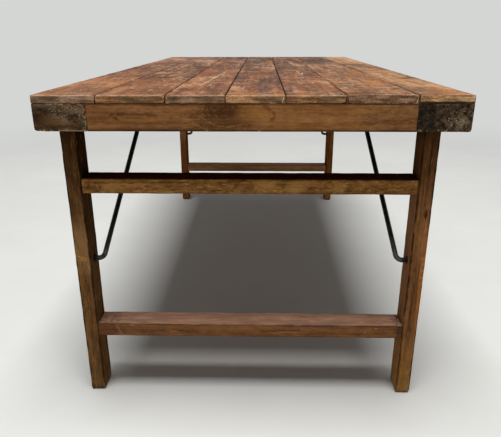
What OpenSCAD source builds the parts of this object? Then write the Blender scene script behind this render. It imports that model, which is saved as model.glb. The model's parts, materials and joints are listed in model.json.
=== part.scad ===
// Folding dining table: a top of seven boards on two flat side rails, two leg frames that
// fold up on hinges, and four iron stays that hook into the legs and swing up under the top.
// Sizes are in millimetres. Z is up, Y runs along the table, and the origin is on the floor
// under the middle of the top.

/* [Top] */
// Length of the top
top_l = 1780; // [1600:10:2200]
// Width of the top
top_w = 914; // [860:2:1000]
// Height of the top above the floor
top_h = 762; // [730:1:800]
// Thickness of the boards
board_t = 17; // [14:0.5:25]
// Open gap between two boards
board_gap = 2; // [1:0.5:4]
// How much wider than an even share each board was cut, from left to right
board_trim = [5, 14, -6, -7, -6, 17, -17]; // [-20:1:20]
// Rounding of the four corners of the top, seen from above
corner_r = 4; // [3:1:15]
// Rounding of the long edges of the boards
board_edge_r = 1.2; // [0.5:0.1:3]

/* [Rails and bearers] */
// Width of a side rail, which lies flat
side_rail_w = 114; // [100:2:140]
// Depth of the side rails and end rails
rail_d = 58; // [50:1:70]
// Rounding of the outer lower edge of a side rail
rail_edge_r = 8; // [3:0.5:10]
// Thickness of an end rail
end_rail_t = 40; // [34:1:50]
// Depth of the bearers
bearer_d = 40; // [32:1:44]
// Width of the two bearers that carry the stays
stay_bearer_w = 72; // [70:1:90]
// Width of the bearer at mid-length
middle_bearer_w = 60; // [40:1:80]
// Distance from an end of the top to the middle of its stay bearer
stay_bearer_y = 400; // [380:5:430]

/* [Leg frames] */
// Distance from each side of the top to the legs, before the sideways offset
frame_side_inset = 42.5; // [30:0.5:58]
// Distance from an end of the top to the leg frame
frame_inset = 41; // [30:1:60]
// Sideways offset of both leg frames from the middle of the top, as the old table has it
frame_offset = -5.5; // [-12:0.5:12]
// Width of a leg, across the table
leg_w = 36; // [32:0.5:42]
// Depth of a leg, along the table
leg_d = 59; // [50:1:66]
// Depth of a stretcher, from its upper to its lower face
stretcher_d = 35.5; // [30:0.5:45]
// Height of the underside of the upper stretchers above the floor
upper_stretcher_z = 538; // [500:1:560]
// Height of the underside of the lower stretchers above the floor
lower_stretcher_z = 164; // [120:1:220]
// Chamfer round the foot of a leg
foot_chamfer = 3; // [1:0.5:6]

/* [Joints in the wood] */
// Thickness of the tenons
tenon_t = 18; // [14:1:20]
// Shoulder on each edge of a tenon
tenon_shoulder = 7; // [5:0.5:9]
// Length of the tenons of end rails and bearers
rail_tenon_l = 42; // [34:1:60]
// Length of the tenons of the stretchers
stretcher_tenon_l = 24; // [18:0.5:26]
// Diameter of the wooden pegs
peg_dia = 8; // [6:0.5:9]
// Wood left beyond the blind end of a peg
peg_cover = 9; // [6:0.5:12]
// Rounding of the remaining wooden edges
wood_edge_r = 1.5; // [0.5:0.1:3]

/* [Hinges] */
// Width of a hinge leaf, across the table
leaf_w = 30; // [26:1:32]
// Length of a hinge leaf from its pin
leaf_l = 60; // [50:1:80]
// Thickness of a hinge leaf
leaf_t = 3; // [2:0.25:3.5]
// Radius of a hinge pin
pin_r = 3; // [2.5:0.25:4]
// Wall of a hinge knuckle
knuckle_wall = 2; // [1.5:0.25:3]
// Rounding of the outer corners of a leaf
leaf_corner_r = 4; // [1:0.5:6]
// Distance of the last screw from the outer end of a leaf
leaf_screw_margin = 10; // [8:0.5:14]

/* [Stays] */
// Diameter of a stay rod
stay_dia = 12; // [9:0.5:13]
// Radius of the bends of a stay, on its middle line
stay_bend_r = 14; // [10:0.5:16]
// Height of the hook of a stay above the floor
hook_z = 366; // [340:1:400]
// Distance of the foot of a stay from the inner face of its leg
stay_stand_off = 24; // [20:0.5:32]
// Distance from a side rail to the nearer stays, at their upper ends
stay_rail_gap = 34; // [24:1:60]
// Depth of the hook hole in a leg
hook_hole_l = 22; // [15:1:26]
// Length of the eye in which a stay turns
eye_l = 22; // [20:1:30]
// Wall of that eye
eye_wall = 3.2; // [3:0.1:4.5]
// Length of an eye plate, along the table
eye_plate_l = 58; // [54:1:66]
// Width of an eye plate
eye_plate_w = 20; // [16:1:22]
// Thickness of an eye plate
eye_plate_t = 2.8; // [2:0.1:3]
// Rounding of the corners of an eye plate
eye_plate_corner_r = 5; // [1:0.5:7]
// Distance of a screw from the end of an eye plate
eye_screw_margin = 8; // [6:0.5:10]
// Height of the upset head on the upper end of a stay
stay_head_h = 3; // [2:0.5:5]
// How far that head stands out round the rod
stay_head_lip = 2.5; // [1.5:0.5:3]

/* [Screws] */
// Radius of the shank of every screw
screw_r = 2.2; // [1.8:0.1:2.6]
// Radius of the countersunk head of every screw
screw_head_r = 4.4; // [3.8:0.1:4.8]
// Length of the screws in the hinge leaves and eye plates
iron_screw_l = 25; // [18:1:28]
// Length of the screws that hold the boards
board_screw_l = 38; // [28:1:42]
// How far those screws reach into a board
board_screw_bite = 11; // [6:0.5:12]
// Distance of a board screw from the edge of its board
board_screw_edge = 25; // [18:1:32]
// Distance of the last screws in a side rail from the end of the top
end_screw_y = 20; // [15:1:24]

/* [Clearances] */
// Clearance round a tenon in its mortise
tenon_clear = 0.15; // [0.05:0.05:0.4]
// Clearance at the bottom of a mortise
mortise_end_clear = 1; // [0.5:0.25:2]
// Radial clearance of a pin in a knuckle, and of a stay in its eye
pin_clear = 0.08; // [0.02:0.01:0.1]
// Radial clearance of a peg or screw in its hole
hole_clear = 0.06; // [0.03:0.01:0.15]
// Clearance between hinge knuckles side by side
knuckle_clear = 0.3; // [0.2:0.1:0.6]
// Radial clearance of a hook in the hole of its leg
hook_hole_clear = 0.6; // [0.3:0.1:1.5]
// Gap between the tip of a hook and the leg
hook_gap = 0.4; // [0.3:0.1:1]
// Gap between the eye of a stay and the parts of the rod beside it
eye_gap = 1; // [0.5:0.25:2]

/* [Hidden] */
ENDS = ["near", "far"];
SIDES = ["left", "right"];
board_count = len(board_trim);
end_y = top_l / 2;

// Levels of the top
rail_top = top_h - board_t;
rail_z = rail_top - rail_d;
bearer_z = rail_top - bearer_d;

// Boards, each with its even share of the width and its own trim
trim_sum = board_trim * [for (t = board_trim) 1];
board_share = (top_w - (board_count - 1) * board_gap - trim_sum) / board_count;
function board_w(i) = board_share + board_trim[i];
function board_x(i) = i == 0 ? -top_w / 2 : board_x(i - 1) + board_w(i - 1) + board_gap;

// Places across the top, from its middle line
rail_inner_x = top_w / 2 - side_rail_w;
rail_mid_x = top_w / 2 - side_rail_w / 2;
cross_l = 2 * rail_inner_x;

// Places in a leg frame, from the frame's own middle line and from the end of the top
leg_outer_x = top_w / 2 - frame_side_inset;
leg_inner_x = leg_outer_x - leg_w;
leg_mid_x = leg_outer_x - leg_w / 2;
leg_back_y = frame_inset + leg_d;
leg_mid_y = frame_inset + leg_d / 2;
stretcher_l = 2 * leg_inner_x;
tenon_h = stretcher_d - 2 * tenon_shoulder;

// Hinge pin, in the corner between the underside of the side rail and the back of the leg
knuckle_r = pin_r + knuckle_wall;
hinge_off = knuckle_r + knuckle_clear;
hinge_y = leg_back_y + hinge_off;
hinge_z = rail_z - hinge_off;
knuckle_l = (leaf_w - 2 * knuckle_clear) / 3;
leaf_screw_first = 2 * knuckle_r + screw_head_r + knuckle_wall;
leaf_screw_last = leaf_l - leaf_screw_margin;
leaf_screw_stagger = leaf_w / 5;
leaf_screw_count = 3;

// Stay, from the middle of its eye down to its hook
stay_r = stay_dia / 2;
eye_r = stay_r + eye_wall;
eye_z = bearer_z - eye_r;
stay_foot_x = leg_inner_x - stay_stand_off;
stay_top_x = rail_inner_x - abs(frame_offset) - stay_rail_gap;
stay_lean = stay_foot_x - stay_top_x;
// The hook leaves the rod squarely and points at the middle of the leg, so the tangent t of
// the yaw solves stay_stand_off * t * t + hook_reach * t = stay_lean
hook_reach = stay_bearer_y - leg_mid_y;
stay_root = sqrt(pow(hook_reach, 2) + 4 * stay_stand_off * stay_lean);
stay_yaw = atan(2 * stay_lean / (hook_reach + stay_root));
stay_foot_y = leg_mid_y - stay_stand_off * tan(stay_yaw);
stay_run = (stay_bearer_y - stay_foot_y) / cos(stay_yaw);
stay_drop = eye_z - hook_z;
stay_l = norm([stay_run, stay_drop]);
stay_slope = atan2(stay_drop, stay_run);
hook_l = (stay_stand_off - hook_gap - stay_r * sin(stay_yaw)) / cos(stay_yaw);
eye_x = -stay_bend_r - eye_gap - eye_l;
stub_end_x = eye_x - eye_gap - stay_head_h;
eye_screw_y = eye_plate_l / 2 - eye_screw_margin;
eye_mid_x = eye_x + eye_l / 2;

// Screws
screw_head_h = screw_head_r - screw_r;
board_screw_z = rail_top + board_screw_bite - board_screw_l;
inner_boards = [1:board_count - 2];
rail_screw_count = 7;

// Pegs
rail_peg_l = rail_d - peg_cover;
frame_peg_l = leg_d - peg_cover;

// Smoothness of round things, and how far a cut runs past the face that it opens
round_n = 48;
edge_steps = 4;
over = 1;

// Colours of the finishes
board_colours = [
    "#b0744a", "#9c6241", "#a2683f", "#945d3c", "#a86b44", "#9a6040", "#c08452"
];
rail_wood = "#5a3a22";
end_rail_wood = "#8a5a2e";
leg_wood = "#6a4326";
stretcher_wood = "#7d5630";
peg_wood = "#c09a68";
iron = "#2a2a2d";
hinge_iron = "#4a4642";
screw_steel = "#8c8880";

// Places a shape drawn for the near end, with y counted from that end
module at_end(end) {
    mirror([0, end == "far" ? 1 : 0, 0])
        translate([0, -end_y, 0])
            children();
}

// Places a shape drawn for the right side
module at_side(side) {
    mirror([side == "left" ? 1 : 0, 0, 0])
        children();
}

// Places a shape of a leg frame or stay, drawn for the near right corner
module at_leg(end, side) {
    translate([frame_offset, 0, 0])
        at_end(end)
            at_side(side)
                children();
}

// Outline of a w by h bar with its lower left corner at the origin; the radii run
// from the upper right corner anticlockwise
function eased(w, h, radii) = [
    for (q = [0:3]) for (s = [0:edge_steps])
        let (
            r = radii[q],
            a = 90 * (q + s / edge_steps),
            x = q == 0 || q == 3 ? w - r : r,
            y = q < 2 ? h - r : r
        )
        [x + r * cos(a), y + r * sin(a)]
];

function even(r) = [r, r, r, r];

// Bar along Y from y = 0, its section w wide and h high
module bar_y(w, h, l, radii) {
    translate([0, l, 0])
        rotate([90, 0, 0])
            linear_extrude(l)
                polygon(eased(w, h, radii));
}

// Bar along X, centred, its section d deep along Y and h high
module bar_x(d, h, l, radii) {
    translate([-l / 2, 0, 0])
        rotate([90, 0, 90])
            linear_extrude(l)
                polygon(eased(d, h, radii));
}

// Plan of the top, with rounded corners, as a cutter through its whole depth
module top_plan() {
    translate([-top_w / 2, -end_y, rail_z - over])
        linear_extrude(rail_d + board_t + 2 * over)
            polygon(eased(top_w, top_l, even(corner_r)));
}

// Countersunk screw pointing up, its head's face at z = 0; grow makes its hole
module screw(l, grow = 0) {
    rotate_extrude($fn = round_n)
        polygon([
            [0, 0],
            [screw_head_r + grow, 0],
            [screw_r + grow, screw_head_h],
            [screw_r + grow, l - screw_r + grow],
            [0, l + grow]
        ]);
}

// Its hole, open for a depth in front of the head
module screw_hole(l, open = over) {
    screw(l, hole_clear);
    translate([0, 0, -open])
        cylinder(r = screw_head_r + hole_clear, h = open, $fn = round_n);
}

// Wooden peg pointing up from z = 0, and its hole
module peg(l) {
    cylinder(d = peg_dia, h = l, $fn = round_n);
}

module peg_hole(l) {
    translate([0, 0, -over])
        cylinder(d = peg_dia + 2 * hole_clear, h = l + over + hole_clear, $fn = round_n);
}

// Tenons of a cross piece: one at each end, drawn to reach into both side rails
module rail_tenon(d, h, grow = 0, end_grow = 0) {
    w = d - 2 * tenon_shoulder + 2 * grow;
    t = tenon_t + 2 * grow;
    l = cross_l + 2 * (rail_tenon_l + end_grow);
    translate([-l / 2, -w / 2, (h - t) / 2])
        cube([l, w, t]);
}

// The cross pieces of the top: middle line along Y, width, depth and underside level
cross_pieces = [
    [-end_y + end_rail_t / 2, end_rail_t, rail_d, rail_z],
    [-end_y + stay_bearer_y, stay_bearer_w, bearer_d, bearer_z],
    [0, middle_bearer_w, bearer_d, bearer_z],
    [end_y - stay_bearer_y, stay_bearer_w, bearer_d, bearer_z],
    [end_y - end_rail_t / 2, end_rail_t, rail_d, rail_z]
];

// Pegs through the tenons of cross pieces, driven up through the side rails
module place_rail_pegs(pieces = cross_pieces) {
    for (p = pieces, side = SIDES)
        translate([0, p[0], rail_z])
            at_side(side)
                translate([rail_inner_x + rail_tenon_l / 2, 0, 0])
                    children();
}

// Screws that hold the boards: two for each inner board in each cross piece
module place_cross_screws(pieces = cross_pieces, boards = inner_boards) {
    for (p = pieces, i = boards)
        for (x = [board_x(i) + board_screw_edge, board_x(i) + board_w(i) - board_screw_edge])
            translate([x, p[0], board_screw_z])
                children();
}

// Screws along each side rail, which hold its outer board
module place_rail_screws() {
    step = (top_l - 2 * end_screw_y) / (rail_screw_count - 1);
    for (side = SIDES, i = [0:rail_screw_count - 1])
        at_side(side)
            translate([rail_mid_x, -end_y + end_screw_y + i * step, board_screw_z])
                children();
}

// Screw places on a leaf that lies in the X-Y plane with its pin along X at y = 0
module place_leaf_screws() {
    step = (leaf_screw_last - leaf_screw_first) / (leaf_screw_count - 1);
    for (i = [0:leaf_screw_count - 1])
        translate([(i % 2 == 0 ? 1 : -1) * leaf_screw_stagger, leaf_screw_first + i * step, 0])
            children();
}

// Frame of the upper leaf of a hinge: on the underside of the side rail, running away
// from the leg, with z up into the wood from the face of the leaf
module at_top_leaf(end, side) {
    at_leg(end, side)
        translate([leg_mid_x, hinge_y, rail_z - leaf_t])
            children();
}

// Frame of the lower leaf: on the back of the leg, running down, with z into the wood
module on_leg_back() {
    translate([leg_mid_x, leg_back_y + leaf_t, hinge_z])
        rotate([90, 0, 0])
            mirror([0, 1, 0])
                children();
}

// Middle of a hinge pin
module at_pin(end, side) {
    at_leg(end, side)
        translate([leg_mid_x, hinge_y, hinge_z])
            rotate([0, 90, 0])
                children();
}

// Leaf with its outer corners rounded, notched where the other leaf's knuckles turn
module leaf(own) {
    notch = [knuckle_l + 2 * knuckle_clear, 2 * (knuckle_r + 2 * knuckle_clear), 2 * leaf_t];
    inner_r = knuckle_clear;
    difference() {
        translate([-leaf_w / 2, 0, 0])
            linear_extrude(leaf_t)
                polygon(eased(leaf_w, leaf_l, [leaf_corner_r, leaf_corner_r, inner_r, inner_r]));
        for (x = own == "outer" ? [0] : [-1, 1])
            translate([x * (knuckle_l + knuckle_clear), 0, leaf_t / 2])
                cube(notch, center = true);
        place_leaf_screws()
            screw_hole(iron_screw_l);
    }
}

// Knuckles along z, the line of the pin: the two outer ones, or the middle one
module knuckles(own) {
    for (z = own == "outer" ? [-1, 1] : [0])
        translate([0, 0, z * (knuckle_l + knuckle_clear)])
            cylinder(r = knuckle_r, h = knuckle_l, center = true, $fn = round_n);
}

module board(i) {
    color(board_colours[i])
        difference() {
            intersection() {
                translate([board_x(i), -end_y, rail_top])
                    bar_y(board_w(i), board_t, top_l, even(board_edge_r));
                top_plan();
            }
            if (i == 0 || i == board_count - 1)
                place_rail_screws()
                    screw_hole(board_screw_l);
            else
                place_cross_screws(boards = [i])
                    screw_hole(board_screw_l);
        }
}

module side_rail(side) {
    color(rail_wood)
        difference() {
            intersection() {
                at_side(side)
                    translate([rail_inner_x, -end_y, rail_z])
                        bar_y(
                            side_rail_w, rail_d, top_l,
                            [wood_edge_r, wood_edge_r, wood_edge_r, rail_edge_r]
                        );
                top_plan();
            }
            for (p = cross_pieces)
                translate([0, p[0], p[3]])
                    rail_tenon(p[1], p[2], tenon_clear, mortise_end_clear);
            place_rail_pegs()
                peg_hole(rail_peg_l);
            place_rail_screws()
                screw_hole(board_screw_l, rail_d);
            for (end = ENDS)
                at_top_leaf(end, side)
                    place_leaf_screws()
                        screw_hole(iron_screw_l);
        }
}

// End rail or bearer, with its tenons, peg holes and board screw holes
module cross_piece(index, colour) {
    p = cross_pieces[index];
    color(colour)
        difference() {
            translate([0, p[0], p[3]]) {
                translate([0, -p[1] / 2, 0])
                    bar_x(p[1], p[2], cross_l, even(wood_edge_r));
                rail_tenon(p[1], p[2]);
            }
            place_rail_pegs([p])
                peg_hole(rail_peg_l);
            place_cross_screws([p])
                screw_hole(board_screw_l, rail_d);
        }
}

module end_rail(end) {
    cross_piece(end == "near" ? 0 : 4, end_rail_wood);
}

module stay_bearer(end) {
    difference() {
        cross_piece(end == "near" ? 1 : 3, stretcher_wood);
        color(stretcher_wood)
            for (side = SIDES)
                place_eye_screws(end, side)
                    screw_hole(iron_screw_l);
    }
}

module rail_pegs() {
    color(peg_wood)
        place_rail_pegs()
            peg(rail_peg_l);
}

module board_screws() {
    color(screw_steel) {
        place_cross_screws()
            screw(board_screw_l);
        place_rail_screws()
            screw(board_screw_l);
    }
}

// Frame of a stay: its eye at the origin, x along the eye away from the middle of the
// table, and the rod leaving towards -y
module at_stay(end, side) {
    at_leg(end, side)
        translate([stay_top_x, stay_bearer_y, eye_z])
            rotate([0, 0, stay_yaw])
                children();
}

module place_eye_screws(end, side) {
    at_stay(end, side)
        for (y = [-eye_screw_y, eye_screw_y])
            translate([eye_mid_x, y, eye_r - eye_plate_t])
                children();
}

// Plate with a strap bent down round the stay, screwed to the underside of a bearer
module eye_plate(end, side) {
    plate_x = (eye_l - eye_plate_w) / 2;
    color(iron)
        difference() {
            at_stay(end, side)
                translate([eye_x, 0, 0])
                    difference() {
                        union() {
                            translate([plate_x, -eye_plate_l / 2, eye_r - eye_plate_t])
                                linear_extrude(eye_plate_t)
                                    polygon(eased(eye_plate_w, eye_plate_l, even(eye_plate_corner_r)));
                            translate([0, -eye_r, 0])
                                cube([eye_l, 2 * eye_r, eye_r]);
                            rotate([0, 90, 0])
                                cylinder(r = eye_r, h = eye_l, $fn = round_n);
                        }
                        translate([-over, 0, 0])
                            rotate([0, 90, 0])
                                cylinder(r = stay_r + pin_clear, h = eye_l + 2 * over, $fn = round_n);
                    }
            place_eye_screws(end, side)
                screw_hole(iron_screw_l);
        }
}

module eye_plate_screws() {
    color(screw_steel)
        for (end = ENDS, side = SIDES)
            place_eye_screws(end, side)
                screw(iron_screw_l);
}

// Leaf of a hinge with its knuckles: own is "outer" on the side rail, "middle" on the leg
module hinge_leaf(end, side, own) {
    color(hinge_iron)
        difference() {
            union() {
                if (own == "outer")
                    at_top_leaf(end, side)
                        leaf(own);
                else
                    at_leg(end, side)
                        on_leg_back()
                            leaf(own);
                at_pin(end, side)
                    knuckles(own);
            }
            at_pin(end, side)
                cylinder(r = pin_r + pin_clear, h = leaf_w + 2 * over, center = true, $fn = round_n);
        }
}

module hinge_pin(end, side) {
    color(screw_steel)
        at_pin(end, side)
            cylinder(r = pin_r, h = leaf_w, center = true, $fn = round_n);
}

module hinge_top_screws() {
    color(screw_steel)
        for (end = ENDS, side = SIDES)
            at_top_leaf(end, side)
                place_leaf_screws()
                    screw(iron_screw_l);
}

module hinge_leg_screws(end) {
    color(screw_steel)
        for (side = SIDES)
            at_leg(end, side)
                on_leg_back()
                    place_leaf_screws()
                        screw(iron_screw_l);
}

// Pegs through the stretcher tenons, driven from the back of the legs
module place_frame_pegs() {
    for (z = [upper_stretcher_z, lower_stretcher_z])
        translate([leg_inner_x + stretcher_tenon_l / 2, leg_back_y, z + stretcher_d / 2])
            rotate([90, 0, 0])
                children();
}

module stretcher_tenon(grow = 0, end_grow = 0) {
    l = stretcher_l + 2 * (stretcher_tenon_l + end_grow);
    translate([-l / 2, leg_mid_y - tenon_t / 2 - grow, tenon_shoulder - grow])
        cube([l, tenon_t + 2 * grow, tenon_h + 2 * grow]);
}

// Cuts a chamfer round the foot of a leg that stands with its middle on the origin
module foot_cutter() {
    for (a = [0:90:270])
        rotate([0, 0, a])
            translate([-leg_d, -(a % 180 == 0 ? leg_d : leg_w) / 2, -foot_chamfer])
                rotate([45, 0, 0])
                    cube([2 * leg_d, foot_chamfer * sqrt(2), foot_chamfer * sqrt(2)]);
}

module leg(end, side) {
    color(leg_wood)
        at_leg(end, side)
            difference() {
                translate([leg_inner_x, frame_inset, 0])
                    linear_extrude(rail_z)
                        polygon(eased(leg_w, leg_d, even(wood_edge_r)));
                translate([leg_mid_x, leg_mid_y, 0])
                    foot_cutter();
                for (z = [upper_stretcher_z, lower_stretcher_z])
                    translate([0, 0, z])
                        stretcher_tenon(tenon_clear, mortise_end_clear);
                place_frame_pegs()
                    peg_hole(frame_peg_l);
                on_leg_back()
                    place_leaf_screws()
                        screw_hole(iron_screw_l);
                translate([leg_inner_x, leg_mid_y, hook_z])
                    rotate([0, 90, stay_yaw])
                        translate([0, 0, -stay_r])
                            cylinder(
                                r = stay_r + hook_hole_clear,
                                h = hook_hole_l + stay_r,
                                $fn = round_n
                            );
            }
}

module stretcher(end, z) {
    color(z == upper_stretcher_z ? end_rail_wood : stretcher_wood)
        translate([frame_offset, 0, 0])
            at_end(end)
                difference() {
                    translate([0, 0, z]) {
                        translate([0, frame_inset, 0])
                            bar_x(leg_d, stretcher_d, stretcher_l, even(wood_edge_r));
                        stretcher_tenon();
                    }
                    for (side = SIDES)
                        at_side(side)
                            place_frame_pegs()
                                peg_hole(frame_peg_l);
                }
}

module frame_pegs(end) {
    color(peg_wood)
        for (side = SIDES)
            at_leg(end, side)
                place_frame_pegs()
                    peg(frame_peg_l);
}

// Quarter bend from the origin, leaving along +x and turning down to -z
module bend() {
    translate([0, 0, -stay_bend_r])
        rotate([90, 0, 0])
            rotate_extrude(angle = 90, $fn = round_n)
                translate([stay_bend_r, 0])
                    circle(r = stay_r, $fn = round_n);
}

// Iron rod, bent square at both ends: the upper end turns in its eye and is upset into
// a head, the lower end is the hook
module stay(end, side) {
    color(iron)
        at_stay(end, side)
            rotate([stay_slope - 90, 0, 0]) {
                translate([stub_end_x, 0, 0])
                    rotate([0, 90, 0]) {
                        cylinder(r = stay_r, h = -stub_end_x - stay_bend_r, $fn = round_n);
                        cylinder(r = stay_r + stay_head_lip, h = stay_head_h, $fn = round_n);
                    }
                translate([-stay_bend_r, 0, 0])
                    bend();
                translate([0, 0, stay_bend_r - stay_l])
                    cylinder(r = stay_r, h = stay_l - 2 * stay_bend_r, $fn = round_n);
                translate([stay_bend_r, 0, -stay_l])
                    rotate([0, 180, 0])
                        bend();
                translate([stay_bend_r, 0, -stay_l])
                    rotate([0, 90, 0])
                        cylinder(r = stay_r, h = hook_l - stay_bend_r, $fn = round_n);
            }
}

board(0);  // board_1
board(1);  // board_2
board(2);  // board_3
board(3);  // board_4
board(4);  // board_5
board(5);  // board_6
board(6);  // board_7
side_rail("left");  // side_rail_left
side_rail("right");  // side_rail_right
end_rail("near");  // end_rail_near
end_rail("far");  // end_rail_far
stay_bearer("near");  // bearer_near
cross_piece(2, stretcher_wood);  // bearer_middle
stay_bearer("far");  // bearer_far
rail_pegs();
board_screws();
eye_plate("near", "left");  // eye_plate_near_left
eye_plate("near", "right");  // eye_plate_near_right
eye_plate("far", "left");  // eye_plate_far_left
eye_plate("far", "right");  // eye_plate_far_right
eye_plate_screws();
hinge_leaf("near", "left", "outer");  // hinge_top_leaf_near_left
hinge_leaf("near", "right", "outer");  // hinge_top_leaf_near_right
hinge_leaf("far", "left", "outer");  // hinge_top_leaf_far_left
hinge_leaf("far", "right", "outer");  // hinge_top_leaf_far_right
hinge_pin("near", "left");  // hinge_pin_near_left
hinge_pin("near", "right");  // hinge_pin_near_right
hinge_pin("far", "left");  // hinge_pin_far_left
hinge_pin("far", "right");  // hinge_pin_far_right
hinge_top_screws();
leg("near", "left");  // leg_near_left
leg("near", "right");  // leg_near_right
stretcher("near", upper_stretcher_z);  // upper_stretcher_near
stretcher("near", lower_stretcher_z);  // lower_stretcher_near
frame_pegs("near");  // frame_pegs_near
hinge_leaf("near", "left", "middle");  // hinge_leg_leaf_near_left
hinge_leaf("near", "right", "middle");  // hinge_leg_leaf_near_right
hinge_leg_screws("near");  // hinge_leg_screws_near
leg("far", "left");  // leg_far_left
leg("far", "right");  // leg_far_right
stretcher("far", upper_stretcher_z);  // upper_stretcher_far
stretcher("far", lower_stretcher_z);  // lower_stretcher_far
frame_pegs("far");  // frame_pegs_far
hinge_leaf("far", "left", "middle");  // hinge_leg_leaf_far_left
hinge_leaf("far", "right", "middle");  // hinge_leg_leaf_far_right
hinge_leg_screws("far");  // hinge_leg_screws_far
stay("near", "left");  // stay_near_left
stay("near", "right");  // stay_near_right
stay("far", "left");  // stay_far_left
stay("far", "right");  // stay_far_right
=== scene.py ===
import json
import math

import bmesh
import bpy
from mathutils import Matrix, Vector, noise

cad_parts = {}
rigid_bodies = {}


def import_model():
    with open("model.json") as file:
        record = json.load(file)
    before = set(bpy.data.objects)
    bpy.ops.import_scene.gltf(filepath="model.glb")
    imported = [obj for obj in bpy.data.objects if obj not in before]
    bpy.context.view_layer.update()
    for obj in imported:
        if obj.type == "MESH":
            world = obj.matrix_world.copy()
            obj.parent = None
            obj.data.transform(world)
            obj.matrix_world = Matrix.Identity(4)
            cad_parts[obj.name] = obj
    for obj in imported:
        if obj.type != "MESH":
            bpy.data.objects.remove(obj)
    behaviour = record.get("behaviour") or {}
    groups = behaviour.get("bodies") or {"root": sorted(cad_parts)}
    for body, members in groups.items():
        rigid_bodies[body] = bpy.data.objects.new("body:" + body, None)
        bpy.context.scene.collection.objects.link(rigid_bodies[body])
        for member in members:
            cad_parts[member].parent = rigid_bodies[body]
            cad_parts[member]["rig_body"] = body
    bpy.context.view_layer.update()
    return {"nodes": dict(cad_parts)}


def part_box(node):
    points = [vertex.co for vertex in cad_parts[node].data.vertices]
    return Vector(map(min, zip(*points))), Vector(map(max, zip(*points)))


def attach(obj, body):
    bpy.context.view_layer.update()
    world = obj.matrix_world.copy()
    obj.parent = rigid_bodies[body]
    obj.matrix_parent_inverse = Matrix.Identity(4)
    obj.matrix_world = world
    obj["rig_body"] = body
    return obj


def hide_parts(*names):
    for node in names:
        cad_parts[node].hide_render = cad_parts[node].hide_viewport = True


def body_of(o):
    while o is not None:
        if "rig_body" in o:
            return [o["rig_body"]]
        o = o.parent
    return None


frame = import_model()

# Places in metres: the origin is on the floor under the middle of the top, and the near
# end, which the camera faces, is at -Y
BOARD_COUNT = 7
ENDS = ("near", "far")
SIDES = ("left", "right")
CORNERS = [(end, side) for end in ENDS for side in SIDES]
RAIL_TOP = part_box("board_1")[0].z
TOP_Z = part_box("board_1")[1].z
HALF_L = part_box("board_1")[1].y
HALF_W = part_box("board_7")[1].x
# Height of the holes in the legs, in which the hooks of the stays sit
HOOK_Z = 0.366


def shoulders(node, left, right):
    """The box of a piece without its tenons: the part between two others."""
    low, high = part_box(node)
    return Vector((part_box(left)[1].x, low.y, low.z)), Vector((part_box(right)[0].x, high.y, high.z))


def tone(code):
    """Linear colour of a hex tone."""
    parts = [int(code[i:i + 2], 16) / 255 for i in (1, 3, 5)]
    linear = [c / 12.92 if c <= 0.04045 else ((c + 0.055) / 1.055) ** 2.4 for c in parts]
    return (*linear, 1.0)


# The dark shade of a wood is a little redder than it is, and the light one a little greyer
REDDER = (1.08, 0.97, 0.9)
GREYER = (0.98, 1.02, 1.06)


def shades(code, dark=0.45, light=1.7):
    """The same wood darker, as it is and lighter, as linear colours."""
    mid = tone(code)
    deep = [mid[i] * dark * REDDER[i] for i in range(3)]
    pale = [min(0.9, mid[i] * light * GREYER[i]) for i in range(3)]
    return (*deep, 1.0), mid, (*pale, 1.0)


class Socket:
    """A socket in a finish. Arithmetic on it adds Math nodes."""

    def __init__(self, finish, socket):
        self.finish = finish
        self.socket = socket

    def math(self, operation, *values):
        return self.finish.node("Math", {"operation": operation}, dict(enumerate(values)))

    def __add__(self, other):
        return self.math("ADD", self, other)

    def __radd__(self, other):
        return self.math("ADD", other, self)

    def __sub__(self, other):
        return self.math("SUBTRACT", self, other)

    def __rsub__(self, other):
        return self.math("SUBTRACT", other, self)

    def __mul__(self, other):
        return self.math("MULTIPLY", self, other)

    def __truediv__(self, other):
        return self.math("DIVIDE", self, other)

    def __pow__(self, other):
        return self.math("POWER", self, other)

    def __abs__(self):
        return self.math("ABSOLUTE", self)

    def sine(self):
        return self.math("SINE", self)

    def either(self, other):
        """The higher of two values: for masks, what either of them covers."""
        return self.math("MAXIMUM", self, other)

    def step(self, low, high):
        """0 up to low, 1 from high on, smooth between. With low above high it falls instead."""
        falls = low > high
        values = {"Value": self, "From Min": min(low, high), "From Max": max(low, high)}
        risen = self.finish.node("MapRange", {"interpolation_type": "SMOOTHSTEP"}, values)
        return 1 - risen if falls else risen


# How far the patterns of one seed lie from those of the next, in cells
SEED_STEPS = (7.31, 3.17, 5.73)


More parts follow.
